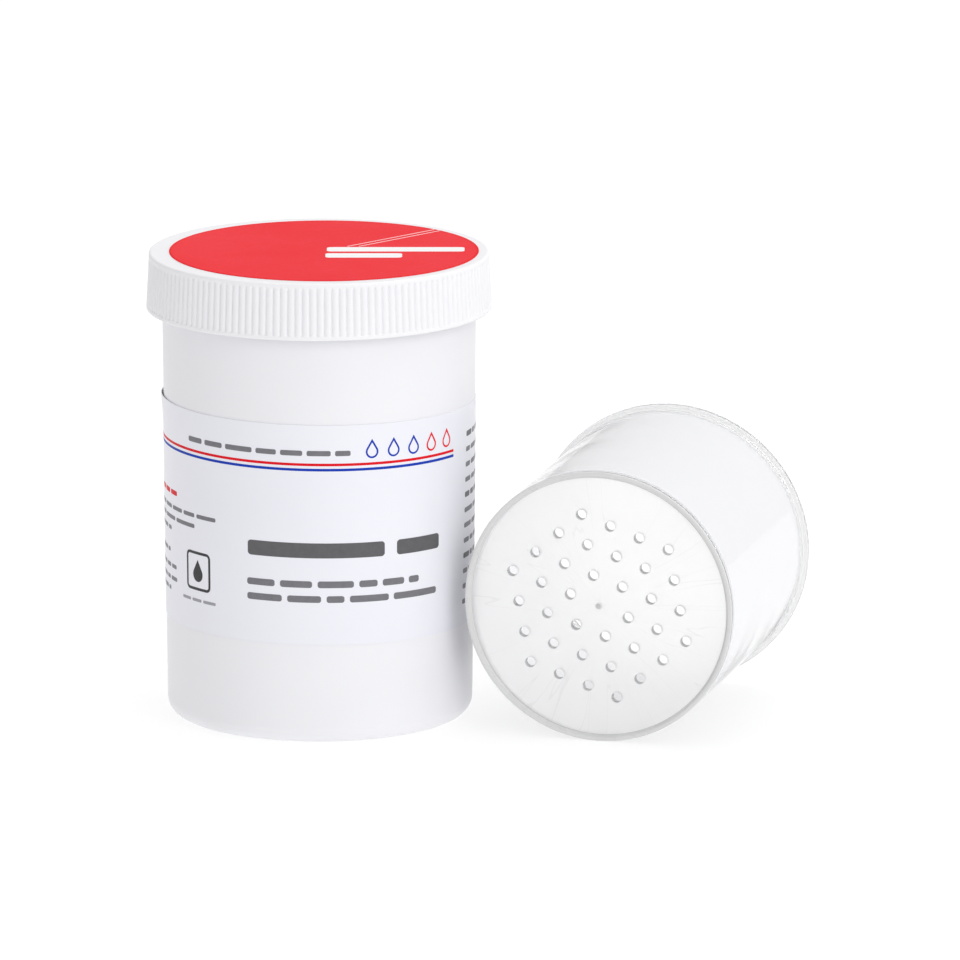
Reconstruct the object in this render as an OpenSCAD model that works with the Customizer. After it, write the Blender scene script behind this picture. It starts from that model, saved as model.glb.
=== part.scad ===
// Drying jar for small ear-worn devices: a round jar with a screw cap, its two
// labels, a liner, a loose drying capsule, and a clear perforated cup that lies
// beside the jar and hangs in its mouth in use.
// Millimetres. Z is up, the jar's foot stands on z = 0 with its centre at the
// origin, and the front of the jar's label faces -Y.

/* [Jar] */
// Height of the jar from the floor to its lip
jar_h = 121; // [115:0.5:130]
// Outer radius of the jar's wall just above the bottom corner
body_r_low = 40.2; // [39.9:0.05:40.4]
// Outer radius of the jar's wall just below the neck
body_r_top = 41.15; // [41.1:0.05:41.3]
// Wall thickness of the jar
wall = 1.9; // [1.5:0.1:2.2]
// Outer radius of the rounded bottom corner
corner_r = 5; // [3.5:0.5:6]
// How far the underside is raised inside the foot ring
foot_rise = 1; // [0.6:0.1:1.4]
// Inner radius of the foot ring
foot_in_r = 31; // [28:0.5:33]

/* [Neck and thread] */
// Outer radius of the neck between its threads
neck_r = 41; // [40.9:0.05:41.05]
// Radius of the mouth above the ledge
mouth_r = 38.1; // [37.9:0.1:38.3]
// Radius of the ledge that carries the hanging cup
ledge_r = 36.9; // [36.7:0.1:37.1]
// Depth of the ledge below the lip
ledge_depth = 2.2; // [2.1:0.1:3]
// Rise of the thread in one turn
lead = 5; // [4.5:0.25:5.5]
// Height of the thread above the neck
thread_h = 1.5; // [1.2:0.1:1.6]
// Play between the threads of neck and cap, measured along the radius
thread_play = 0.3; // [0.25:0.05:0.4]
// Turns of thread on the neck
neck_turns = 1.4; // [1.1:0.1:1.5]
// Turns of thread in the cap
cap_turns = 1.1; // [0.9:0.1:1.2]

/* [Cap] */
// Height of the cap
cap_h = 14.9; // [14.5:0.1:16]
// Radius of the cap at its bottom edge
cap_r_low = 45.36; // [45.2:0.02:45.8]
// Radius of the cap where the rounded top edge begins
cap_r_top = 44.62; // [44.5:0.02:45]
// Radius of the rounded top edge
cap_edge_r = 1.2; // [1:0.2:2.6]
// Thickness of the cap's top
cap_top_t = 1.6; // [1.4:0.1:1.8]
// Number of ribs round the cap
ribs = 146; // [120:2:160]
// Depth of the grooves between the ribs
rib_h = 0.5; // [0.35:0.05:0.6]
// Height of the smooth band below the ribs
band_h = 1; // [0.8:0.1:2]
// Thickness of the foam liner
liner_t = 0.8; // [0.6:0.1:1.2]

/* [Labels] */
// Height of the wrap label's lower edge
label_z = 26.9; // [20:0.1:35]
// Height of the wrap label
label_h = 58.6; // [50:0.2:65]
// Thickness of the label stock
label_t = 0.15; // [0.1:0.05:0.25]
// Width of the gap between the ends of the wrap label, in degrees
label_gap = 6; // [2:1:20]
// Radius of the round label on the cap
disc_r = 40.6; // [30:0.2:40.8]
// How far the round label was stuck off centre
disc_off = 1.3; // [0:0.1:1.3]

/* [Hanging cup] */
// Height of the cup from its foot ring to its rim
cup_h = 74.5; // [60:0.5:80]
// Outer radius of the foot ring
cup_r_low = 36.1; // [35.5:0.1:36.2]
// Outer radius of the wall just under the rim flange
cup_r_top = 36.4; // [36.2:0.1:36.5]
// Wall thickness of the cup
cup_wall = 1.1; // [0.9:0.1:1.4]
// Radius of the rim flange
flange_r = 37.7; // [37.5:0.05:37.75]
// Thickness of the rim flange
flange_t = 2; // [1.6:0.1:2.1]
// Depth of the cup's floor inside the foot ring
floor_in = 1; // [0.6:0.1:2.5]
// Thickness of the perforated floor
floor_t = 2.2; // [1:0.1:2.6]
// Diameter of one hole in the floor
hole_d = 2.7; // [2:0.1:3.5]
// Distance between neighbouring holes
hole_pitch = 8.24; // [7:0.02:8.4]
// Rings of holes round the middle
hole_rings = 3; // [2:1:3]
// Turn of the hole pattern about the cup's axis, in degrees
hole_turn = 19; // [-30:1:30]
// Where the middle of the cup's floor lies, across the front
cup_x = 72.9; // [72.9:0.1:90]
// Where the middle of the cup's floor lies, in depth
cup_y = -36.4; // [-50:0.1:-30]
// Direction in which the cup's rim points, in degrees to the right of +Y
cup_yaw = 16; // [10:1:25]

/* [Drying capsule] */
// Radius of the capsule
capsule_r = 22; // [21.4:0.2:26]
// Height of the capsule's tub
capsule_h = 14.5; // [14:0.5:20]
// Wall thickness of the tub
capsule_wall = 1.2; // [1:0.1:1.4]
// Diameter of one drying bead
bead_d = 5; // [4:0.1:5]

/* [Hidden] */

// Play that keeps pieces apart where they lie on one another.
skin = 0.02;
rest_gap = 0.1;

// Jar heights
jar_floor = foot_rise + 1.9;
shoulder_z = jar_h - 11.8;
inner_corner = 3.2;

// Cap heights, counted up from the lip: liner, gaps, top
liner_z = jar_h + rest_gap;
ceiling_z = liner_z + liner_t + rest_gap;
cap_top_z = ceiling_z + cap_top_t;
cap_low_z = cap_top_z - cap_h;

// Thread radii
neck_crest = neck_r + thread_h;
cap_bore = neck_crest + thread_play;
cap_crest = neck_r + thread_play;
// Half widths of a ridge along the axis, at its crest and at its buried foot
ridge_tip = 0.7;
ridge_foot = 1.5;
bury = 0.3;
// Vertical step from a neck ridge down to the cap ridge that pulls under it
ridge_slope = (ridge_foot - ridge_tip) / (thread_h + bury);
hold_step = 2 * ridge_tip + (neck_crest - cap_crest) * ridge_slope + 0.3;
neck_thread_z = shoulder_z + 2.1;

function arc(cx, cy, r, a0, a1, n) =
    [for (i = [0:n]) let (a = a0 + (a1 - a0) * i / n)
        [cx + r * cos(a), cy + r * sin(a)]];

// Outer radius of the jar's drafted wall at height z
function body_r(z) = body_r_low + (body_r_top - body_r_low)
    * (z - corner_r) / (shoulder_z - corner_r);

// Radius of the cap's drafted side at height z, over the rib crests
function cap_side(z) = cap_r_low + (cap_r_top - cap_r_low)
    * (z - cap_low_z) / (cap_h - cap_edge_r);

// ---------------------------------------------------------------- thread
// A ridge wound on a helix round the Z axis. foot_r is the buried radius and
// crest_r the free one; the ridge runs out at both ends by sinking into the wall.
module ridge(foot_r, crest_r, z0, a0, turns, out) {
    step = 5;
    n = round(turns * 360 / step);
    run_out = 5;
    pts = [for (i = [0:n])
        let (a = a0 + i * step, z = z0 + lead * a / 360,
             t = max(0.04, min(1, i / run_out, (n - i) / run_out)),
             rc = foot_r + (crest_r - foot_r) * t)
        for (p = [[foot_r, -ridge_foot], [rc, -ridge_tip],
                  [rc, ridge_tip], [foot_r, ridge_foot]])
            [p[0] * cos(a), p[0] * sin(a), z + p[1]]];
    sides = [for (i = [0:n - 1]) for (j = [0:3])
        let (a = 4 * i + j, b = 4 * i + (j + 1) % 4)
        for (f = [[a, b, b + 4], [a, b + 4, a + 4]]) f];
    ends = [[0, 3, 2], [0, 2, 1],
            [4 * n, 4 * n + 1, 4 * n + 2], [4 * n, 4 * n + 2, 4 * n + 3]];
    all = concat(sides, ends);
    polyhedron(points = pts,
        faces = out ? all : [for (f = all) [f[2], f[1], f[0]]]);
}

// ---------------------------------------------------------------- jar
module jar_body() {
    r_in_low = body_r(corner_r) - wall;
    r_in_top = body_r(shoulder_z) - wall;
    ledge_z = jar_h - ledge_depth;
    profile = concat(
        [[0, foot_rise], [foot_in_r - 1.6, foot_rise],
         [foot_in_r - 0.6, foot_rise * 0.55], [foot_in_r, 0]],
        arc(body_r_low - corner_r, corner_r, corner_r, -90, 0, 9),
        [[body_r_top, shoulder_z], [neck_r, shoulder_z + 0.3],
         [neck_r, jar_h - 0.8]],
        arc(neck_r - 0.8, jar_h - 0.8, 0.8, 15, 90, 4),
        [[mouth_r + 0.3, jar_h], [mouth_r, jar_h - 0.3], [mouth_r, ledge_z],
         [ledge_r, ledge_z], [ledge_r, ledge_z - 1.1],
         [mouth_r, ledge_z - 2.4], [mouth_r, shoulder_z + 1.2],
         [r_in_top, shoulder_z - 3],
         [r_in_low, jar_floor + inner_corner]],
        arc(r_in_low - inner_corner, jar_floor + inner_corner, inner_corner,
            -15, -90, 5),
        [[0, jar_floor]]);
    color([0.95, 0.95, 0.96]) union() {
        rotate_extrude($fn = 180) polygon(profile);
        ridge(neck_r - bury, neck_crest, neck_thread_z, 0, neck_turns, true);
    }
}

module wrap_label() {
    z1 = label_z + label_h;
    color([0.93, 0.93, 0.97])
        rotate([0, 0, 90 + label_gap / 2])
            rotate_extrude(angle = 360 - label_gap, $fn = 180)
                polygon([[body_r(label_z) + skin, label_z],
                         [body_r(label_z) + skin + label_t, label_z],
                         [body_r(z1) + skin + label_t, z1],
                         [body_r(z1) + skin, z1]]);
}

// ---------------------------------------------------------------- cap
module screw_cap() {
    rib_z0 = cap_low_z + band_h;
    rib_z1 = cap_top_z - cap_edge_r;
    rc = cap_r_top - cap_edge_r;
    core = concat(
        [[0, ceiling_z], [cap_bore - 0.6, ceiling_z], [cap_bore, ceiling_z - 0.6],
         [cap_bore, cap_low_z + 0.7], [cap_bore + 0.5, cap_low_z],
         [cap_side(cap_low_z) - 0.3, cap_low_z],
         [cap_side(cap_low_z + 0.3), cap_low_z + 0.3],
         [cap_side(rib_z0), rib_z0],
         [cap_side(rib_z0) - rib_h, rib_z0 + 0.25],
         [cap_side(rib_z1) - rib_h, rib_z1 - 0.8],
         [cap_side(rib_z1), rib_z1 - 0.1]],
        arc(rc, cap_top_z - cap_edge_r, cap_edge_r, 0, 90, 8),
        [[0, cap_top_z]]);
    // The band of ribs, as a ring that sinks into the core
    in_r = cap_r_top - rib_h - 0.6;
    band = [[in_r, rib_z0 - 0.2], [cap_side(rib_z0 - 0.2) - 0.02, rib_z0 - 0.2],
            [cap_side(rib_z1 - 0.9) - 0.02, rib_z1 - 0.9],
            [cap_side(rib_z1 - 0.3) - 0.12, rib_z1 - 0.3],
            [in_r, rib_z1 - 0.3]];
    pitch = 360 / ribs;
    star = [for (i = [0:ribs - 1]) for (p = [[-0.5, cap_r_top - rib_h - 0.4],
            [-0.36, cap_r_low + 1], [0.36, cap_r_low + 1]])
        let (a = (i + p[0]) * pitch) [p[1] * cos(a), p[1] * sin(a)]];
    color([0.96, 0.96, 0.97]) union() {
        rotate_extrude($fn = 180) polygon(core);
        intersection() {
            rotate_extrude($fn = 180) polygon(band);
            translate([0, 0, rib_z0 - 1]) linear_extrude(rib_z1 - rib_z0 + 2)
                polygon(star);
        }
        ridge(cap_bore + bury, cap_crest, neck_thread_z - hold_step,
            360 * (cap_low_z + 2.2 - neck_thread_z + hold_step) / lead,
            cap_turns, false);
    }
}

module cap_label() {
    color([0.78, 0.1, 0.16])
        translate([disc_off, 0, cap_top_z + skin])
            cylinder(h = label_t, r = disc_r, $fn = 180);
}

module cap_liner() {
    color([0.97, 0.97, 0.95])
        translate([0, 0, liner_z])
            cylinder(h = liner_t, r = cap_bore - 0.9, $fn = 180);
}

// ---------------------------------------------------------------- hanging cup
// The lean of the cup's axis when it lies on its foot ring and its flange
lean = atan((flange_r - cup_r_low) / (cup_h - flange_t + 0.4 - 0.3));

module cup_upright() {
    flange_z = cup_h - flange_t;
    r_in_low = cup_r_low - cup_wall;
    r_in_top = cup_r_top - cup_wall;
    top = floor_in + floor_t;
    profile = concat(
        [[0, floor_in], [r_in_low - 0.5, floor_in], [r_in_low - 0.2, floor_in - 0.3],
         [r_in_low, 0.2], [r_in_low + 0.2, 0]],
        arc(cup_r_low - 0.3, 0.3, 0.3, -90, 0, 3),
        [[cup_r_top, flange_z - 0.3], [cup_r_top + 0.3, flange_z]],
        arc(flange_r - 0.4, flange_z + 0.4, 0.4, -90, 0, 3),
        arc(flange_r - 0.5, cup_h - 0.5, 0.5, 0, 90, 4),
        [[r_in_top + 0.6, cup_h], [r_in_top + 0.2, cup_h - 0.3],
         [r_in_top, cup_h - 0.9]],
        arc(r_in_low - 1.2, top + 1.2, 1.2, 0, -90, 4),
        [[0, top]]);
    union() {
        difference() {
            rotate_extrude($fn = 180) polygon(profile);
            for (i = [-hole_rings:hole_rings]) for (j = [-hole_rings:hole_rings])
                if (abs(i + j) <= hole_rings && (i != 0 || j != 0))
                    rotate([0, 0, hole_turn])
                        translate([hole_pitch * (i + j / 2),
                                   hole_pitch * j * sqrt(3) / 2, floor_in - 1])
                            cylinder(h = floor_t + 2, d = hole_d, $fn = 32);
        }
        // What is left of the moulding gate
        translate([0, 0, floor_in - 0.25]) cylinder(h = 0.5, r = 0.8, $fn = 32);
    }
}

module insert_cup() {
    color([0.9, 0.93, 0.96, 0.4])
        translate([cup_x, cup_y, cup_r_low * cos(lean) - 0.3 * sin(lean)])
            rotate([0, 0, -cup_yaw]) rotate([lean - 90, 0, 0]) cup_upright();
}

// ---------------------------------------------------------------- capsule
module desiccant_tub() {
    r = capsule_r;
    w = capsule_wall;
    h = capsule_h;
    color([0.97, 0.97, 0.97])
        translate([0, 0, jar_floor + rest_gap]) rotate_extrude($fn = 120)
            polygon(concat(
                [[0, 0]], arc(r - 2.2, 1, 1, -90, -10, 3),
                [[r - 0.9, h - 1.4], [r, h - 1.4], [r, h],
                 [r - w - 0.9, h]],
                arc(r - w - 2, w + 0.8, 0.8, 0, -90, 3),
                [[0, w]]));
}

// Two close-packed layers of separate round beads
module desiccant_beads() {
    d = bead_d + 0.1;
    z0 = jar_floor + rest_gap + capsule_wall + 0.05 + bead_d / 2;
    lift = d * sqrt(2 / 3) + 0.02;
    color([0.95, 0.72, 0.35]) {
        for (i = [-3:3]) for (j = [-3:3]) if (abs(i + j) <= 3)
            translate([d * (i + j / 2), d * j * sqrt(3) / 2, z0])
                sphere(d = bead_d, $fn = 32);
        for (i = [-3:2]) for (j = [-3:2]) if (abs(i + j + 1) <= 3)
            translate([d * (i + j / 2 + 0.5), d * (j * sqrt(3) / 2 + sqrt(3) / 6),
                       z0 + lift])
                sphere(d = bead_d, $fn = 32);
    }
}

module desiccant_membrane() {
    color([0.98, 0.98, 0.98])
        translate([0, 0, jar_floor + rest_gap + capsule_h + skin])
            cylinder(h = 0.3, r = capsule_r - 0.4, $fn = 120);
}

jar_body();
wrap_label();
screw_cap();
cap_label();
cap_liner();
insert_cup();
desiccant_tub();
desiccant_beads();
desiccant_membrane();
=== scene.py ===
import math
import random

import bmesh
import bpy
import numpy as np
from mathutils import Matrix, Vector
from mathutils.geometry import delaunay_2d_cdt


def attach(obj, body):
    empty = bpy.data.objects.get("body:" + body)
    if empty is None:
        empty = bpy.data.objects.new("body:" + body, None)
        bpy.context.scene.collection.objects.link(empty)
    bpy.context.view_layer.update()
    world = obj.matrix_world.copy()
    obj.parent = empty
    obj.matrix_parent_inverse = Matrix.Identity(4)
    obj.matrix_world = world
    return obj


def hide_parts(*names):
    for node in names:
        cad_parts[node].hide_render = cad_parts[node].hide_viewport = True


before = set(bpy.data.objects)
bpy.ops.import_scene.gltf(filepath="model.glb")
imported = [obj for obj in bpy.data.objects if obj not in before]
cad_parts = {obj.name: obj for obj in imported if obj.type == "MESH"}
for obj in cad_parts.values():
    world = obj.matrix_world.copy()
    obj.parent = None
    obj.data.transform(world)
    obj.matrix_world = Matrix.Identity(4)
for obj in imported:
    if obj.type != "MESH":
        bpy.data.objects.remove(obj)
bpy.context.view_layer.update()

MM = 0.001
SCENE = bpy.context.scene
rng = random.Random(11)

# ------------------------------------------------------------------ camera
ELEV = math.radians(12.3)
cam_data = bpy.data.cameras.new("view")
cam_data.sensor_width = 36
cam_data.lens = 470.25
cam_data.clip_start, cam_data.clip_end = 0.1, 60
cam = bpy.data.objects.new("view", cam_data)
cam.location = (0.0422, -3.3 * math.cos(ELEV), 0.0621 + 3.3 * math.sin(ELEV))
cam.rotation_euler = (math.radians(90) - ELEV, 0, 0)
SCENE.collection.objects.link(cam)
SCENE.camera = cam


# ------------------------------------------------------------------ nodes
class Tree:
    """A material with a Principled shader, and short ways to feed it."""

    def __init__(self, name):
        self.mat = bpy.data.materials.new(name)
        self.mat.use_nodes = True
        self.nt = self.mat.node_tree
        self.nt.nodes.clear()
        self.out = self.add("ShaderNodeOutputMaterial")
        self.bsdf = self.add("ShaderNodeBsdfPrincipled")
        self.link(self.bsdf.outputs[0], self.out.inputs[0])
        self.obj = self.add("ShaderNodeTexCoord").outputs["Object"]

    def add(self, kind, **props):
        n = self.nt.nodes.new(kind)
        for k, v in props.items():
            setattr(n, k, v)
        return n

    def link(self, a, b):
        self.nt.links.new(a, b)

    def put(self, socket, value):
        if isinstance(value, bpy.types.NodeSocket):
            self.link(value, socket)
        else:
            socket.default_value = value

    def noise(self, scale, detail=3.0, rough=0.55, vector=None):
        n = self.add("ShaderNodeTexNoise")
        n.inputs["Scale"].default_value = scale
        n.inputs["Detail"].default_value = detail
        n.inputs["Roughness"].default_value = rough
        self.link(vector or self.obj, n.inputs["Vector"])
        return n.outputs[0]

    def remap(self, value, a, b, lo=0.3, hi=0.7, smooth=False):
        n = self.add("ShaderNodeMapRange")
        if smooth:
            n.interpolation_type = "SMOOTHSTEP"
        self.put(n.inputs["Value"], value)
        n.inputs["From Min"].default_value = lo
        n.inputs["From Max"].default_value = hi
        n.inputs["To Min"].default_value = a
        n.inputs["To Max"].default_value = b
        return n.outputs[0]

    def math(self, op, a, b=0.0, clamp=False):
        n = self.add("ShaderNodeMath", operation=op)
        n.use_clamp = clamp
        self.put(n.inputs[0], a)
        self.put(n.inputs[1], b)
        return n.outputs[0]

    def mix(self, fac, a, b):
        n = self.add("ShaderNodeMix", data_type="RGBA")
        self.put(n.inputs[0], fac)
        for s, c in ((n.inputs[6], a), (n.inputs[7], b)):
            if isinstance(c, bpy.types.NodeSocket):
                self.link(c, s)
            else:
                s.default_value = (*c, 1)
        return n.outputs[2]

    def scaled(self, vector, factors):
        n = self.add("ShaderNodeVectorMath", operation="MULTIPLY")
        self.link(vector, n.inputs[0])
        n.inputs[1].default_value = factors
        return n.outputs[0]

    def bump(self, height, distance, strength=1.0, normal=None):
        n = self.add("ShaderNodeBump")
        n.inputs["Strength"].default_value = strength
        n.inputs["Distance"].default_value = distance
        self.link(height, n.inputs["Height"])
        if normal is not None:
            self.link(normal, n.inputs["Normal"])
        return n.outputs[0]


def moulded(name, colour, shade, rough, grain, grain_depth, sss=0.0):
    """Satin moulded plastic: slow colour and gloss changes, fine spark grain, slight wall waviness."""
    t = Tree(name)
    slow, fine = t.noise(22, 2), t.noise(grain, 2, 0.6)
    t.link(t.mix(t.remap(slow, 0, 1), colour, shade), t.bsdf.inputs["Base Color"])
    both = t.math("ADD", t.remap(slow, rough[0], rough[1]), t.remap(fine, -0.03, 0.03))
    t.link(both, t.bsdf.inputs["Roughness"])
    wave = t.bump(t.noise(48, 1), 0.00006)
    t.link(t.bump(fine, grain_depth, 1.0, wave), t.bsdf.inputs["Normal"])
    t.bsdf.inputs["IOR"].default_value = 1.49
    if sss:
        t.bsdf.inputs["Subsurface Weight"].default_value = sss
        t.bsdf.inputs["Subsurface Radius"].default_value = (1.0, 0.97, 0.94)
        t.bsdf.inputs["Subsurface Scale"].default_value = 0.0025
    return t.mat


def paper(name, colour, shade, rough, coat, edge=None):
    """Coated label stock: faint fibre cloud, satin lacquer. edge = (centre x, radius, width, colour) darkens a round
    rim with painted shade, the shade line at the label's edge.
    """
    t = Tree(name)
    cloud, fibre = t.noise(30, 3), t.noise(900, 3, 0.7)
    base = t.mix(t.remap(cloud, 0, 1), colour, shade)
    # painted shade: the colour turns darker towards the round rim, standing in for the shade at the label's edge
    if edge:
        sep = t.add("ShaderNodeSeparateXYZ")
        t.link(t.obj, sep.inputs[0])
        x = t.math("SUBTRACT", sep.outputs[0], edge[0])
        r = t.math("SQRT", t.math("ADD", t.math("MULTIPLY", x, x),
                                  t.math("MULTIPLY", sep.outputs[1], sep.outputs[1])))
        base = t.mix(t.remap(r, 0, 1, edge[1] - edge[2], edge[1] - edge[2] * 0.35, True), base, edge[3])
    t.link(base, t.bsdf.inputs["Base Color"])
    t.link(t.math("ADD", t.remap(cloud, rough[0], rough[1]), t.remap(fibre, -0.03, 0.03)),
           t.bsdf.inputs["Roughness"])
    t.link(t.bump(fibre, 0.000012, 1.0, t.bump(t.noise(60, 1), 0.00004)), t.bsdf.inputs["Normal"])
    t.bsdf.inputs["Coat Weight"].default_value = coat
    t.bsdf.inputs["Coat Roughness"].default_value = 0.22
    return t.mat


def ink(name, colour, shade):
    """Printed ink: solid, with the slight mottle of print on coated stock."""
    t = Tree(name)
    mottle = t.noise(700, 3, 0.6)
    t.link(t.mix(t.remap(mottle, 0, 1), colour, shade), t.bsdf.inputs["Base Color"])
    t.link(t.remap(mottle, 0.36, 0.5), t.bsdf.inputs["Roughness"])
    t.link(t.bump(mottle, 0.000008), t.bsdf.inputs["Normal"])
    return t.mat


JAR_PP = moulded("jar_polypropylene", (0.862, 0.861, 0.890), (0.838, 0.837, 0.867), (0.34, 0.42), 1300, 0.00001, 0.12)
CAP_PP = moulded("cap_polypropylene", (0.872, 0.867, 0.890), (0.852, 0.847, 0.871), (0.38, 0.47), 1500, 0.000014, 0.10)
LABEL = paper("label_stock", (0.845, 0.845, 0.905), (0.825, 0.826, 0.888), (0.36, 0.44), 0.25)
# the red disc's darker rim is painted shade at its edge, not a print
RED_LABEL = paper("red_label_stock", (0.845, 0.0235, 0.035), (0.825, 0.021, 0.032), (0.5, 0.58), 0.0,
                  edge=(0.0013, 0.0406, 0.0009, (0.80, 0.0035, 0.010)))
RED_LABEL.node_tree.nodes["Principled BSDF"].inputs["Specular IOR Level"].default_value = 0.06
INK_GREY = ink("ink_dark_grey", (0.088, 0.088, 0.094), (0.105, 0.105, 0.112))
INK_TEXT = ink("ink_grey", (0.15, 0.15, 0.165), (0.18, 0.18, 0.195))
INK_PALE = ink("ink_pale_grey", (0.30, 0.30, 0.33), (0.34, 0.34, 0.37))
INK_BLACK = ink("ink_black", (0.012, 0.012, 0.014), (0.02, 0.02, 0.022))
INK_RED = ink("ink_red", (0.76, 0.006, 0.016), (0.71, 0.005, 0.014))
INK_BLUE = ink("ink_blue", (0.006, 0.042, 0.42), (0.009, 0.05, 0.45))
for coloured in (INK_RED, INK_BLUE):
    coloured.node_tree.nodes["Principled BSDF"].inputs["Specular IOR Level"].default_value = 0.12
INK_WHITE = ink("ink_white", (0.93, 0.93, 0.93), (0.90, 0.90, 0.90))


# ------------------------------------------------------------------ meshes
def grid(rows, cols, wrap_rows=False, wrap_cols=True, base=0):
    i = np.arange(rows if wrap_rows else rows - 1)[:, None]
    j = np.arange(cols if wrap_cols else cols - 1)[None, :]
    k, m = (i + 1) % rows, (j + 1) % cols
    f = np.stack([i * cols + j, i * cols + m, k * cols + m, k * cols + j], -1)
    return (f.reshape(-1, 4) + base).tolist()


def rounded(pts, seg=6, step=5.0, support=0.3):
    """An outline of (r, z) or (r, z, rounding) points: its corners rounded, and its flats cut up with a line close to each end so that smooth shading stays on the rounds."""
    out = []
    for k, p in enumerate(pts):
        q = np.array(p[:2], float)
        if len(p) > 2 and 0 < k < len(pts) - 1:
            u = np.array(pts[k - 1][:2], float) - q
            v = np.array(pts[k + 1][:2], float) - q
            lu, lv = np.linalg.norm(u), np.linalg.norm(v)
            u, v = u / lu, v / lv
            half = 0.5 * math.acos(max(-1, min(1, float(u @ v))))
            t = min(p[2] / math.tan(half), 0.49 * lu, 0.49 * lv)
            r = t * math.tan(half)
            c = q + (u + v) / np.linalg.norm(u + v) * r / math.sin(half)
            a0 = math.atan2(*(q + u * t - c)[::-1])
            d = math.atan2(*(q + v * t - c)[::-1]) - a0
            d = (d + math.pi) % (2 * math.pi) - math.pi
            n = max(2, int(round(seg * abs(d) / (math.pi / 2))))
            out += [c + r * np.array([math.cos(a0 + d * i / n), math.sin(a0 + d * i / n)])
                    for i in range(n + 1)]
        else:
            out.append(q)
    fine = [out[0]]
    for a, b in zip(out, out[1:]):
        length = np.linalg.norm(b - a)
        if length > 4 * support:
            n = max(1, int(math.ceil((length - 2 * support) / step)))
            for i in range(n + 1):
                fine.append(a + (b - a) * (support + (length - 2 * support) * i / n) / length)
        fine.append(b)
    return np.array(fine)


def spun(prof, angles, radius=None):
    """Vertices and faces of a solid of revolution whose outline starts and ends on the axis. radius(r, z, angles) may vary each row."""
    rows = prof[1:-1]
    c, s = np.cos(angles), np.sin(angles)
    v = []
    for r, z in rows:
        rr = radius(r, z, angles) if radius else np.full(len(angles), r)
        v.append(np.stack([rr * c, rr * s, np.full(len(angles), z)], 1))
    n, m = len(rows), len(angles)
    v = np.concatenate(v + [np.array([[0, 0, prof[0][1]], [0, 0, prof[-1][1]]])])
    f = grid(n, m)
    for j in range(m):
        k = (j + 1) % m
        f.append((n * m, k, j))
        f.append((n * m + 1, (n - 1) * m + j, (n - 1) * m + k))
    return v, f


def build(name, verts, faces, mats, body, node=None, sharp=40, face_mats=None):
    me = bpy.data.meshes.new(name)
    me.from_pydata((np.asarray(verts, float) * MM).tolist(), [], faces)
    bm = bmesh.new()
    bm.from_mesh(me)
    bmesh.ops.recalc_face_normals(bm, faces=bm.faces)
    bm.to_mesh(me)
    bm.free()
    for m in mats:
        me.materials.append(m)
    if face_mats is not None:
        me.polygons.foreach_set("material_index", face_mats)
    me.shade_smooth()
    me.set_sharp_from_angle(angle=math.radians(sharp))
    o = bpy.data.objects.new(name, me)
    SCENE.collection.objects.link(o)
    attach(o, body)
    if node:
        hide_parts(node)
    return o


def smooth(x):
    x = np.clip(x, 0, 1)
    return x * x * (3 - 2 * x)


def thread(angles, z, z0, a0, turns, height, half=1.37, tip=0.62):
    """How far a ridge wound at 5 mm a turn stands out of a wall, at each angle, at height z."""
    th = np.degrees(angles) % 360
    h = np.zeros(len(angles))
    for k in range(3):
        a = th + 360 * k
        prof = smooth((half - abs(z - (z0 + 5 * a / 360))) / (half - tip))
        run = smooth(np.minimum(a - a0, a0 + turns * 360 - a) / 25)
        h = np.maximum(h, prof * run)
    return h * height


# ------------------------------------------------------------------ jar
def body_r(z):
    return 40.2 + 0.95 * (z - 5) / 104.2


jar_outline = rounded([
    (0, 0.85), (1.1, 0.85, 0.2), (1.4, 1.0, 0.2), (11.4, 1.0, 0.1), (11.7, 0.8, 0.1), (12.2, 0.8, 0.1),
    (12.5, 1.0, 0.1), (28.9, 1.0, 0.9), (30.9, 0, 0.7), (40.154, 0, 5.0),
    (41.15, 109.2, 0.15), (41.0, 109.5, 0.1), (41.0, 121, 0.8), (38.4, 121, 0.2), (38.1, 120.7, 0.2),
    (38.1, 118.8, 0.12), (36.9, 118.8, 0.25), (36.9, 117.7, 0.25), (38.1, 116.4, 0.4),
    (38.1, 110.4, 0.8), (39.25, 106.2, 1.2), (38.3, 2.9, 3.2), (0, 2.9)], seg=8)
dense = []
for a, b in zip(jar_outline, jar_outline[1:]):
    dense.append(a)
    if a[0] > 40.9 and b[0] > 40.9 and a[1] > 109.4 and b[1] - a[1] > 0.25:
        n = int((b[1] - a[1]) / 0.2)
        dense += [a + (b - a) * i / n for i in range(1, n)]
dense.append(jar_outline[-1])
cols = np.linspace(0, 2 * math.pi, 288, endpoint=False)


def neck(r, z, angles):
    rr = np.full(len(angles), r)
    if r > 40.9 and 109.5 < z < 120.3:
        rr += thread(angles, z, 111.3, 0, 1.4, 1.5)
    return rr


v, f = spun(np.array(dense), cols, neck)
build("jar_shell", v, f, [JAR_PP], "jar", "jar_body", sharp=50)


# ------------------------------------------------------------------ wrap label
TILT = 0.45  # the label was stuck on slightly out of level, higher at the left


def lift(th, z):
    """How far the label stands off the jar: a loose upper edge at the left, and its two ends at the back."""
    a = 0.5 * np.exp(-((th + 94) / 17) ** 2) * np.exp(-((np.minimum(z, 86) - 86) / 5.0) ** 2)
    b = 0.10 * smooth((abs(th) - 168) / 9)
    return a + b


def on_label(th, z, out=0.0):
    """Place of a point of the label, th degrees round to the right of its front, z mm up before the tilt."""
    t = math.radians(th)
    zz = z - TILT * math.sin(t)
    r = body_r(zz) + 0.02 + float(lift(th, zz)) + out
    return (r * math.sin(t), -r * math.cos(t), zz)


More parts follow.
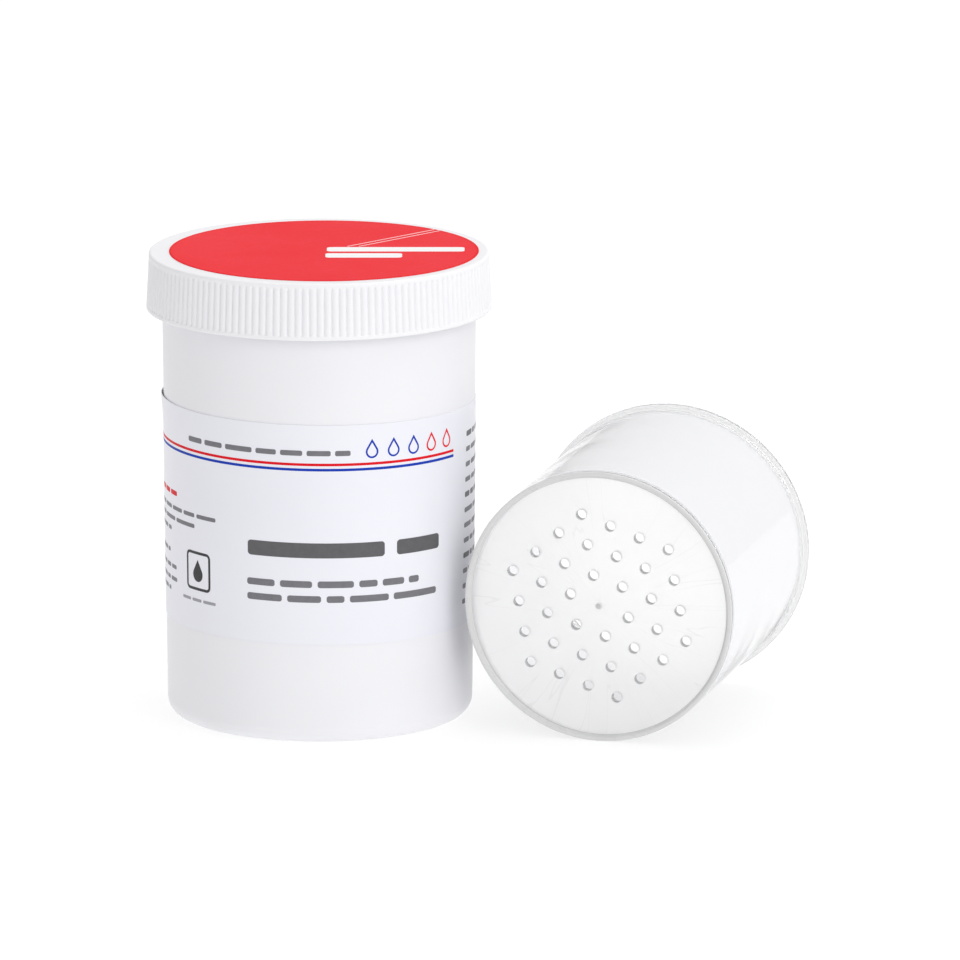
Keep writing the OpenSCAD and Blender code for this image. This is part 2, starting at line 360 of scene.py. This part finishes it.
ths = np.linspace(-177, 177, 237)
heights = np.concatenate([[26.9, 27.1], np.linspace(28.5, 70, 16), np.linspace(72, 85.3, 14), [85.5]])
v, f = [], []
nz = len(heights)
for z in heights:
    v += [on_label(t, z) for t in ths]
for z in heights[::-1]:
    v += [on_label(t, z, 0.15) for t in ths]
m = len(ths)
f += grid(2 * nz, m, wrap_rows=True, wrap_cols=False)
for j in (0, m - 1):
    for k in range(nz - 1):
        f.append((k * m + j, (k + 1) * m + j, (2 * nz - 2 - k) * m + j, (2 * nz - 1 - k) * m + j))
build("wrap_label_sheet", v, f, [LABEL], "jar", "wrap_label", sharp=50)


# ------------------------------------------------------------------ prints
class Print:
    """Flat closed marks, each a thin solid laid on a surface by place(x, y, out)."""

    def __init__(self, place, low, high):
        self.place, self.low, self.high = place, low, high
        self.v, self.f = [], []

    def strip(self, a, b, closed=False):
        n, base = len(a), len(self.v)
        for out in (self.high, self.low):
            for line in (a, b):
                self.v += [self.place(x, y, out) for x, y in line]
        for i in range(n if closed else n - 1):
            k = (i + 1) % n
            q = [base + i, base + k, base + n + k, base + n + i]
            w = [x + 2 * n for x in q]
            self.f += [tuple(q), (w[3], w[2], w[1], w[0]), (q[1], q[0], w[0], w[1]), (q[3], q[2], w[2], w[3])]
        if not closed:
            for i in (0, n - 1):
                self.f.append((base + i, base + n + i, base + 3 * n + i, base + 2 * n + i))

    def bar(self, x0, x1, y0, y1, r, unit=1.0, step=1.2):
        """A bar with rounded ends. unit is how many mm one unit of x is."""
        r = min(r, (y1 - y0) / 2, (x1 - x0) * unit / 2)
        ends = [(r * (1 - math.cos(p)) / unit, r * (1 - math.sin(p))) for p in np.linspace(0.3, math.pi / 2, 5)]
        xs = [(x0 + dx, dy) for dx, dy in ends]
        n = int(max(1, (x1 - x0 - 2 * r / unit) * unit / step))
        xs += [(x0 + r / unit + (x1 - x0 - 2 * r / unit) * i / n, 0) for i in range(1, n)]
        xs += [(x1 - dx, dy) for dx, dy in reversed(ends)]
        self.strip([(x, y0 + d) for x, d in xs], [(x, y1 - d) for x, d in xs])

    def words(self, x0, x1, y0, y1, unit=1.0, lengths=(3.0, 10.0), gap=1.0, r=0.45):
        """A line of bars as long as words, where a line of small print is."""
        x, end = x0, x1
        while x < end - 1.2 / unit:
            w = rng.uniform(*lengths) / unit
            if end - (x + w) < (gap + lengths[0] * 0.7) / unit:
                w = end - x
            self.bar(x, x + w, y0, y1, r, unit)
            x += w + gap / unit

    def ring(self, loop, centre, scale, unit=1.0):
        """An outline mark between a closed loop round (0, 0) and the same loop at a smaller scale."""
        a = [(centre[0] + x / unit, centre[1] + y) for x, y in loop]
        b = [(centre[0] + x * scale / unit, centre[1] + y * scale) for x, y in loop]
        self.strip(a, b, True)

    def solid(self, loop, centre, unit=1.0, scales=(1, 0.8, 0.6, 0.4, 0.2)):
        n, base = len(loop), len(self.v)
        rows = [(s, self.high) for s in reversed(scales)] + [(s, self.low) for s in scales]
        for s, out in rows:
            self.v += [self.place(centre[0] + x * s / unit, centre[1] + y * s, out) for x, y in loop]
        self.v += [self.place(*centre, self.high), self.place(*centre, self.low)]
        top = base + len(rows) * n
        self.f += grid(len(rows), n, base=base)
        for j in range(n):
            k = (j + 1) % n
            self.f += [(top, base + k, base + j), (top + 1, top - n + j, top - n + k)]

    def done(self, name, mat, body, slot):
        return build(name, self.v, self.f, [mat], body, None, sharp=50)


def drop_loop(r, tall=1.95, n=44):
    """The outline of a plain water drop of belly radius r, round its belly's centre."""
    alpha = math.acos(1 / tall)
    tip = (0.0, tall * r)
    right = (r * math.sin(alpha), r * math.cos(alpha))
    side = 9
    pts = [(tip[0] + (right[0] - tip[0]) * i / side, tip[1] + (right[1] - tip[1]) * i / side) for i in range(side)]
    m = n - 2 * side
    for i in range(m + 1):
        a = math.pi / 2 - alpha - (2 * math.pi - 2 * alpha) * i / m
        pts.append((r * math.cos(a), r * math.sin(a)))
    pts += [(-x, y) for x, y in pts[1:side][::-1]]
    return pts


def square_loop(half_x, half_y, r, inset=0.0):
    """A rounded rectangle, or the one inset from it with the same corner centres."""
    pts, rr = [], r - inset
    for sx, sy, a0 in ((1, 1, 0), (-1, 1, 90), (-1, -1, 180), (1, -1, 270)):
        cx, cy = sx * (half_x - r), sy * (half_y - r)
        arc = [(cx + rr * math.cos(math.radians(a0 + 18 * i)), cy + rr * math.sin(math.radians(a0 + 18 * i)))
               for i in range(6)]
        pts += arc
        nx, ny = {0: (-half_x + r, half_y - inset), 90: (-half_x + inset, -half_y + r),
                  180: (half_x - r, -half_y + inset), 270: (half_x - inset, half_y - r)}[a0]
        for i in range(1, 9):
            pts.append((arc[-1][0] + (nx - arc[-1][0]) * i / 9, arc[-1][1] + (ny - arc[-1][1]) * i / 9))
    return pts


ARC = math.radians(1) * 41.0  # mm along the label in one degree


def label_place(th, z, out):
    return on_label(th, z, out)


def label_print():
    return Print(label_place, 0.145, 0.17)


red, blue, dark, grey, pale, black = (label_print() for _ in range(6))
red.bar(-168, 59.3, 74.68, 75.38, 0.05, ARC)
blue.bar(-168, 59.3, 73.30, 74.00, 0.05, ARC)
# one line of small print over the stripes
grey.words(-55.6, 12.1, 77.35, 78.75, ARC, (3.2, 8.5), 1.1, 0.5)
# a row of plain outlined drops at the stripes' right end
for i in range(5):
    (blue if i < 3 else red).ring(drop_loop(1.75), (20.2 + 8.6 * i, 78.2), 0.72, ARC)
# heading and the two lines under it
for x0, x1 in ((-26.7, 25.3), (30.2, 50.4)):
    dark.bar(x0, x1, 50.1, 54.1, 1.0, ARC)
grey.words(-27.0, 40.1, 42.15, 43.95, ARC, (4.5, 11.0), 1.4, 0.7)
grey.words(-27.0, 48.9, 38.2, 40.0, ARC, (4.5, 11.0), 1.4, 0.7)
# a square with a drop in it, and its caption
sq = (-50.9, 42.95)
black.strip([(sq[0] + x / ARC, sq[1] + y) for x, y in square_loop(5.0, 5.2, 1.5)],
            [(sq[0] + x / ARC, sq[1] + y) for x, y in square_loop(5.0, 5.2, 1.5, 0.75)], True)
black.solid(drop_loop(2.0), (sq[0], sq[1] - 0.9), ARC)
pale.words(-61.0, -41.3, 34.7, 35.5, ARC, (2.2, 5.0), 0.7, 0.35)
# a block of small print at the left
red.words(-106, -65.3, 61.0, 62.3, ARC, (3.0, 8.0), 0.9, 0.45)
for z, end in ((57.1, -41.0), (54.2, -52.6), (51.2, -71.4), (45.2, -73.2), (41.1, -66.6), (37.8, -66.2), (34.9, -73.0)):
    grey.words(-106, end, z, z + 1.1, ARC, (2.5, 8.0), 0.9, 0.45)
# a column of small print at the right
for i in range(12):
    z = 77.2 - 4.06 * i
    start = 70.4 - 0.27 * i
    bold = i in (0, 4, 8)
    end = 150 - (0, 3, 9, 30, 1, 7, 4, 36, 2, 6, 11, 52)[i]
    if bold:
        dark.words(start, start + 11, z, z + 1.45, ARC, (3.0, 5.0), 0.9, 0.5)
        grey.words(start + 12.5, end, z + 0.05, z + 1.35, ARC, (2.5, 8.0), 0.9, 0.5)
    else:
        grey.words(start, end, z, z + 1.3, ARC, (2.5, 8.0), 0.9, 0.5)
for p, name, mat in ((red, "label_print_red", INK_RED), (blue, "label_print_blue", INK_BLUE),
                     (dark, "label_print_heading", INK_GREY), (grey, "label_print_lines", INK_TEXT),
                     (pale, "label_print_caption", INK_PALE), (black, "label_print_square", INK_BLACK)):
    p.done(name, mat, "jar", "label_paper")


# ------------------------------------------------------------------ cap
def cap_side(z):
    return 45.36 - 0.74 * (z - 108.7) / 13.7


RIBS = 146
PHASES = np.array([-0.5, -0.42, -0.31, -0.14, 0.14, 0.31, 0.42])
cap_phase = np.tile(PHASES, RIBS)
cap_angles = (np.repeat(np.arange(RIBS), len(PHASES)) + cap_phase) * 2 * math.pi / RIBS
groove = np.abs(2 * cap_phase) ** 2.6

cap_outline = rounded([
    (0, 122.0), (42.8, 122.0, 0.6), (42.8, 109.4, 0.2), (43.3, 108.7, 0.15), (45.36, 108.7, 0.35),
    (44.62, 122.4), (44.62, 123.6, 1.2), (0, 123.6)], seg=5)
rows = []
for a, b in zip(cap_outline, cap_outline[1:]):
    rows.append(a)
    if a[0] > 44.2 and b[0] > 44.2 and b[1] - a[1] > 0.3 and a[1] > 108.8:
        n = int((b[1] - a[1]) / 0.16)
        fine = [a + (b - a) * i / n for i in range(1, n)]
        rows += [q for i, q in enumerate(fine) if q[1] < 110.2 or q[1] > 121.7 or i % 12 == 6]
    elif abs(a[0] - 42.8) < 0.01 and abs(b[0] - 42.8) < 0.01 and a[1] - b[1] > 0.3:
        n = int((a[1] - b[1]) / 0.42)
        rows += [a + (b - a) * i / n for i in range(1, n)]
rows.append(cap_outline[-1])


def cap_wall(r, z, angles):
    rr = np.full(len(angles), r)
    if r > 44.0 and 108.9 < z < 122.9:
        fade = smooth((z - 109.6) / 0.45) * smooth((122.8 - z) / 1.0)
        rr -= 0.5 * groove * fade
    if abs(r - 42.8) < 0.05 and z < 121.2:
        rr -= thread(angles, z, 109.0667, 132, 1.1, 1.5)
    return rr


v, f = spun(np.array(rows), cap_angles, cap_wall)
build("cap_shell", v, f, [CAP_PP], "cap", "screw_cap", sharp=55)

disc = rounded([(0, 123.62), (40.6, 123.62), (40.6, 123.74, 0.04), (0, 123.74)], seg=3)
v, f = spun(disc, np.linspace(0, 2 * math.pi, 256, endpoint=False))
v = v + np.array([1.3, 0, 0])
build("cap_label_disc", v, f, [RED_LABEL], "cap", "cap_label", sharp=50)

white = Print(lambda x, y, out: (x, y, 123.74 + out), -0.005, 0.025)
for x0, x1, y0, y1 in ((2.0, 38.2, -1.7, 4.1), (1.7, 21.9, -9.9, -4.1)):
    white.bar(x0, x1, y0, y1, 1.3)
for dx in (0.0, 3.0):
    p0 = np.array([7.4 + dx, 5.2])
    d = np.array([1.0, 1.0]) / math.sqrt(2)
    c = np.array([1.3, 0])
    q = p0 - c
    reach = -q @ d + math.sqrt((q @ d) ** 2 - q @ q + 40.1 ** 2)
    p1 = p0 + d * reach
    w = np.array([1.0, -1.0]) / math.sqrt(2) * 0.16
    a = [tuple(p0 + (p1 - p0) * t - w) for t in np.linspace(0, 1, 12)]
    b = [tuple(p0 + (p1 - p0) * t + w) for t in np.linspace(0, 1, 12)]
    white.strip(a, b)
white.done("cap_label_print", INK_WHITE, "cap", "red_label")

# ------------------------------------------------------------------ insert cup
COLS = 240
around = np.linspace(0, 2 * math.pi, COLS, endpoint=False)
R_FLOOR = 31.5
HOLE, EASE, GUARD = 1.35, 0.22, 0.06
S_OUT, S_IN = 1.0, 3.2
holes = []
turn = math.radians(19)
for i in range(-3, 4):
    for j in range(-3, 4):
        if abs(i + j) <= 3 and (i or j):
            x, y = 8.24 * (i + j / 2), 8.24 * j * math.sqrt(3) / 2
            holes.append((x * math.cos(turn) - y * math.sin(turn), x * math.sin(turn) + y * math.cos(turn)))


def circle(cx, cy, r, n):
    return [(cx + r * math.cos(2 * math.pi * k / n), cy + r * math.sin(2 * math.pi * k / n)) for k in range(n)]


NH, NG = 36, 36
loops = [circle(0, 0, R_FLOOR, COLS), circle(0, 0, 1.3, NG)]
loops += [circle(x, y, HOLE + EASE + GUARD, NH) for x, y in holes]
flat, edges, starts = [], [], []
for loop in loops:
    starts.append(len(flat))
    n = len(loop)
    edges += [(len(flat) + k, len(flat) + (k + 1) % n) for k in range(n)]
    flat += loop
cv, ce, cf, origin, _, _ = delaunay_2d_cdt([Vector(p) for p in flat], edges, [], 1, 1e-6)
back = [o[0] for o in origin]
owner = np.concatenate([np.full(len(loop), k) for k, loop in enumerate(loops)])
tris = []
for face in cf:
    ids = [back[k] for k in face]
    if owner[ids[0]] > 0 and all(owner[k] == owner[ids[0]] for k in ids):
        continue  # inside a hole, or inside the plain middle
    tris.append(ids)

V, F = [], []


def add_ring(points, s):
    V.extend([(x, y, s) for x, y in points])
    return len(V) - len(points)


def bridge(a, b, n):
    F.extend([(a + k, a + (k + 1) % n, b + (k + 1) % n, b + k) for k in range(n)])


n_flat = len(flat)
under = add_ring(flat, S_OUT)
over = add_ring(flat, S_IN)
F += [tuple(under + k for k in t) for t in tris] + [tuple(over + k for k in t) for t in tris]
for (x, y), st in zip(holes, starts[2:]):
    prev = under + st
    arc = [(HOLE + EASE * (1 - math.sin(p)), EASE * (1 - math.cos(p))) for p in np.linspace(0, math.pi / 2, 5)]
    ladder = [(HOLE + EASE * (1 - math.sin(p)), S_OUT + EASE * (1 - math.cos(p))) for p in np.linspace(0, math.pi / 2, 5)]
    ladder += [(HOLE, (S_OUT + S_IN) / 2)]
    ladder += [(r, S_OUT + S_IN - s) for r, s in ladder[:5][::-1]]
    for r, s in ladder:
        cur = add_ring(circle(x, y, r, NH), s)
        bridge(prev, cur, NH)
        prev = cur
    bridge(prev, over + st, NH)
# gate mark on the outside, plain middle inside
prev = under + starts[1]
for r, s in ((0.95, S_OUT), (0.82, S_OUT - 0.06), (0.76, S_OUT - 0.2), (0.66, S_OUT - 0.25), (0.3, S_OUT - 0.22)):
    cur = add_ring(circle(0, 0, r, NG), s)
    bridge(prev, cur, NG)
    prev = cur
V.append((0, 0, S_OUT - 0.21))
F += [(prev + k, prev + (k + 1) % NG, len(V) - 1) for k in range(NG)]
V.append((0, 0, S_IN))
c0 = over + starts[1]
F += [(c0 + k, c0 + (k + 1) % NG, len(V) - 1) for k in range(NG)]
# the rest of the outline, from the floor's outer face round the foot ring, wall and rim to its inner face
cup = rounded([
    (R_FLOOR, S_OUT), (34.6, S_OUT, 0.3), (34.95, 0.15, 0.12), (35.25, 0.0, 0.1), (36.1, 0.0, 0.35),
    (36.4, 72.2, 0.25), (36.75, 72.5, 0.2), (37.69, 72.5, 0.4), (37.69, 74.49, 0.5), (35.95, 74.49, 0.25),
    (35.45, 74.1, 0.25), (35.3, 73.2, 0.3), (35.0, S_IN, 1.2), (R_FLOOR, S_IN)], seg=6, step=8)
prev = under
for r, s in cup[1:-1]:
    cur = add_ring(circle(0, 0, r, COLS), s)
    bridge(prev, cur, COLS)
    prev = cur
bridge(prev, over, COLS)

LEAN = math.atan((37.7 - 36.1) / (74.5 - 2 + 0.4 - 0.3))
place = (Matrix.Translation(Vector((72.9, -36.4, 36.1 * math.cos(LEAN) - 0.3 * math.sin(LEAN))) * MM)
         @ Matrix.Rotation(math.radians(-16), 4, "Z") @ Matrix.Rotation(LEAN - math.pi / 2, 4, "X"))

# clear moulded plastic: brilliant wall, a floor made milky by flow lines that run out from the gate
t = Tree("clear_polystyrene")
sep = t.add("ShaderNodeSeparateXYZ")
own = t.add("ShaderNodeMapping", vector_type="TEXTURE")
t.link(t.obj, own.inputs["Vector"])
own.inputs["Location"].default_value = place.to_translation()
own.inputs["Rotation"].default_value = place.to_euler("XYZ")
t.link(own.outputs[0], sep.inputs[0])
rad = t.math("SQRT", t.math("ADD", t.math("MULTIPLY", sep.outputs[0], sep.outputs[0]),
                            t.math("MULTIPLY", sep.outputs[1], sep.outputs[1])))
floor_mask = t.math("MULTIPLY", t.remap(sep.outputs[2], 1, 0, 0.0033, 0.0038, True),
                    t.remap(rad, 1, 0, 0.0345, 0.0351, True))
dirs = t.add("ShaderNodeVectorMath", operation="NORMALIZE")
t.link(t.scaled(own.outputs[0], (1, 1, 0)), dirs.inputs[0])
lines = t.add("ShaderNodeCombineXYZ")
sd = t.add("ShaderNodeSeparateXYZ")
t.link(dirs.outputs[0], sd.inputs[0])
t.link(sd.outputs[0], lines.inputs[0])
t.link(sd.outputs[1], lines.inputs[1])
t.link(t.math("MULTIPLY", rad, 14.0), lines.inputs[2])
flow = t.noise(7.5, 4, 0.62, lines.outputs[0])
cloud = t.noise(55, 3)
spokes = t.add("ShaderNodeCombineXYZ")
t.link(sd.outputs[0], spokes.inputs[0])
t.link(sd.outputs[1], spokes.inputs[1])
t.link(t.math("MULTIPLY", rad, 3.0), spokes.inputs[2])
strand = t.noise(6.0, 1, 0.4, spokes.outputs[0])
vein = t.remap(t.math("ABSOLUTE", t.math("SUBTRACT", strand, 0.5)), 1, 0, 0.0, 0.008, True)
vein = t.math("MULTIPLY", vein, t.remap(rad, 0, 1, 0.010, 0.024, True))
outer_face = t.math("MULTIPLY", floor_mask, t.remap(sep.outputs[2], 1, 0, 0.0013, 0.0019, True))
haze = t.math("MULTIPLY", outer_face, t.remap(flow, 0.85, 1.0, 0.3, 0.75))
milky = t.mix(t.math("MULTIPLY", vein, 0.5), (0.998, 0.996, 0.994), (0.80, 0.80, 0.80))
rim = t.remap(sep.outputs[2], 0, 1, 0.0705, 0.0715, True)
clear = t.mix(t.math("MAXIMUM", rim, floor_mask), (0.905, 0.905, 0.926), (0.98, 0.98, 0.985))
gate = t.math("MULTIPLY", outer_face, t.remap(rad, 1, 0, 0.0005, 0.0010, True))
t.link(t.mix(gate, t.mix(haze, clear, milky), (0.55, 0.55, 0.55)), t.bsdf.inputs["Base Color"])
satin = t.math("ADD", t.math("MULTIPLY", floor_mask, t.remap(cloud, 0.30, 0.38)), t.math("MULTIPLY", rim, 0.16))
t.link(t.math("ADD", satin, t.remap(cloud, 0.02, 0.045)), t.bsdf.inputs["Roughness"])
relief = t.math("MULTIPLY", floor_mask, flow)
t.link(t.bump(relief, 0.00012, 1.0, t.bump(t.noise(40, 1), 0.00008)), t.bsdf.inputs["Normal"])
t.link(t.math("SUBTRACT", t.math("SUBTRACT", 0.96, t.math("MULTIPLY", haze, 0.51)), t.math("MULTIPLY", rim, 0.22)),
       t.bsdf.inputs["Transmission Weight"])
t.bsdf.inputs["IOR"].default_value = 1.45
CLEAR = t.mat



def frosted_plastic(name, colour, shade, through):
    """The same plastic where the mould left it a little frosted; at the hole walls its grey base colour is painted
    shade.
    """
    t = Tree(name)
    frost = t.noise(120, 1, 0.5)
    t.link(t.mix(t.remap(frost, 0, 1), colour, shade), t.bsdf.inputs["Base Color"])
    t.link(t.remap(frost, 0.24, 0.32), t.bsdf.inputs["Roughness"])
    t.link(t.bump(frost, 0.000006), t.bsdf.inputs["Normal"])
    t.bsdf.inputs["Transmission Weight"].default_value = through
    t.bsdf.inputs["IOR"].default_value = 1.45
    return t.mat


FROSTED = frosted_plastic("frosted_foot_ring", (0.665, 0.663, 0.665), (0.69, 0.688, 0.69), 0.0)
# hole walls: frosted plastic whose dark grey base colour is painted shade inside the holes
HOLE_WALL = frosted_plastic("frosted_hole_wall_painted_shade", (0.60, 0.60, 0.595), (0.66, 0.66, 0.655), 0.30)
R3, T3 = np.array(place.to_3x3()), np.array(place.to_translation()) / MM
V = np.array(V)
mids = np.array([V[list(q)].mean(0) for q in F])
far = np.hypot(mids[:, 0], mids[:, 1])
zone = np.where((far > 34.4) & (mids[:, 2] < 1.4), 1, 0)
# zone 2, the hole walls, gets the painted-shade grey
zone[(far > 3) & (far < R_FLOOR) & (mids[:, 2] > S_OUT + 0.1) & (mids[:, 2] < S_IN - 0.1)] = 2
build("insert_cup_shell", V @ R3.T + T3, F, [CLEAR, FROSTED, HOLE_WALL], "insert", "insert_cup",
      sharp=50, face_mats=zone.tolist())

# ------------------------------------------------------------------ pieces inside the jar
t = Tree("foam_liner")
cells = t.add("ShaderNodeTexVoronoi")
cells.inputs["Scale"].default_value = 1500
t.link(t.obj, cells.inputs["Vector"])
t.link(t.mix(t.remap(cells.outputs["Distance"], 0, 1, 0.1, 0.8), (0.86, 0.86, 0.83), (0.92, 0.92, 0.90)),
       t.bsdf.inputs["Base Color"])
t.link(t.remap(t.noise(200), 0.6, 0.75), t.bsdf.inputs["Roughness"])
t.link(t.bump(cells.outputs["Distance"], 0.00006), t.bsdf.inputs["Normal"])
FOAM = t.mat

CAPSULE = moulded("capsule_plastic", (0.88, 0.88, 0.88), (0.85, 0.85, 0.855), (0.36, 0.46), 1200, 0.00001)

t = Tree("bead_gel")
swirl = t.noise(420, 2)
t.link(t.mix(t.remap(swirl, 0, 1), (0.93, 0.42, 0.10), (0.97, 0.58, 0.20)), t.bsdf.inputs["Base Color"])
t.link(t.remap(t.noise(1500), 0.08, 0.22), t.bsdf.inputs["Roughness"])
t.link(t.bump(t.noise(2500, 2), 0.00001), t.bsdf.inputs["Normal"])
t.bsdf.inputs["Transmission Weight"].default_value = 0.55
t.bsdf.inputs["IOR"].default_value = 1.46
BEAD = t.mat

t = Tree("breathable_sheet")
fibres = t.noise(1, 4, 0.7, t.scaled(t.obj, (2600, 420, 900)))
cross = t.noise(1, 4, 0.7, t.scaled(t.obj, (420, 2600, 900)))
web = t.math("MAXIMUM", fibres, cross)
t.link(t.mix(t.remap(web, 0, 1, 0.4, 0.75), (0.80, 0.80, 0.80), (0.93, 0.93, 0.93)), t.bsdf.inputs["Base Color"])
t.link(t.remap(web, 0.7, 0.85), t.bsdf.inputs["Roughness"])
t.link(t.bump(web, 0.00005), t.bsdf.inputs["Normal"])
SHEET = t.mat

for node, mat in (("cap_liner", FOAM), ("desiccant_tub", CAPSULE), ("desiccant_beads", BEAD),
                  ("desiccant_membrane", SHEET)):
    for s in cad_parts[node].material_slots:
        s.material = mat

# ------------------------------------------------------------------ stage and light
floor_mesh = bpy.data.meshes.new("floor")
floor_mesh.from_pydata([(-9, -9, -5e-5), (9, -9, -5e-5), (9, 9, -5e-5), (-9, 9, -5e-5)], [], [(0, 1, 2, 3)])
t = Tree("studio_floor")
t.link(t.mix(t.noise(2, 2), (0.305, 0.305, 0.308), (0.315, 0.315, 0.315)), t.bsdf.inputs["Base Color"])
t.link(t.remap(t.noise(5, 2), 0.75, 0.85), t.bsdf.inputs["Roughness"])
t.bsdf.inputs["Specular IOR Level"].default_value = 0.1
t.bsdf.inputs["Emission Color"].default_value = (1, 1, 1, 1)
t.bsdf.inputs["Emission Strength"].default_value = 0.725
floor_mesh.materials.append(t.mat)
floor = bpy.data.objects.new("floor", floor_mesh)
SCENE.collection.objects.link(floor)

world = bpy.data.worlds.new("studio")
SCENE.world = world
world.use_nodes = True
wn = world.node_tree
wn.nodes.clear()
w_out = wn.nodes.new("ShaderNodeOutputWorld")
w_bg = wn.nodes.new("ShaderNodeBackground")
w_bg.inputs["Color"].default_value = (1.0, 1.0, 1.0, 1)
w_tc = wn.nodes.new("ShaderNodeTexCoord")
w_dot = wn.nodes.new("ShaderNodeVectorMath")
w_dot.operation = "DOT_PRODUCT"
w_dot.inputs[1].default_value = (0.31, 0.02, 0.10)
w_add = wn.nodes.new("ShaderNodeMath")
w_add.inputs[1].default_value = 0.735
wn.links.new(w_tc.outputs["Generated"], w_dot.inputs[0])
wn.links.new(w_dot.outputs["Value"], w_add.inputs[0])
wn.links.new(w_add.outputs[0], w_bg.inputs["Strength"])
wn.links.new(w_bg.outputs[0], w_out.inputs[0])


def softbox(name, place, target, size, watts, colour=(1, 1, 1)):
    d = bpy.data.lights.new(name, "AREA")
    d.shape = "RECTANGLE"
    d.size, d.size_y = size
    d.energy = watts
    d.color = colour
    o = bpy.data.objects.new(name, d)
    o.location = place
    o.rotation_mode = "QUATERNION"
    o.rotation_quaternion = (Vector(target) - Vector(place)).to_track_quat("-Z", "Y")
    SCENE.collection.objects.link(o)
    return o


softbox("top", (0.3, 0.5, 2.4), (0.04, 0.1, 0), (2.6, 2.2), 15)
softbox("key", (1.35, -2.2, 1.3), (0.0, 0, 0.06), (1.5, 1.5), 13.5)

SCENE.view_settings.view_transform = "Standard"
SCENE.view_settings.look = "None"
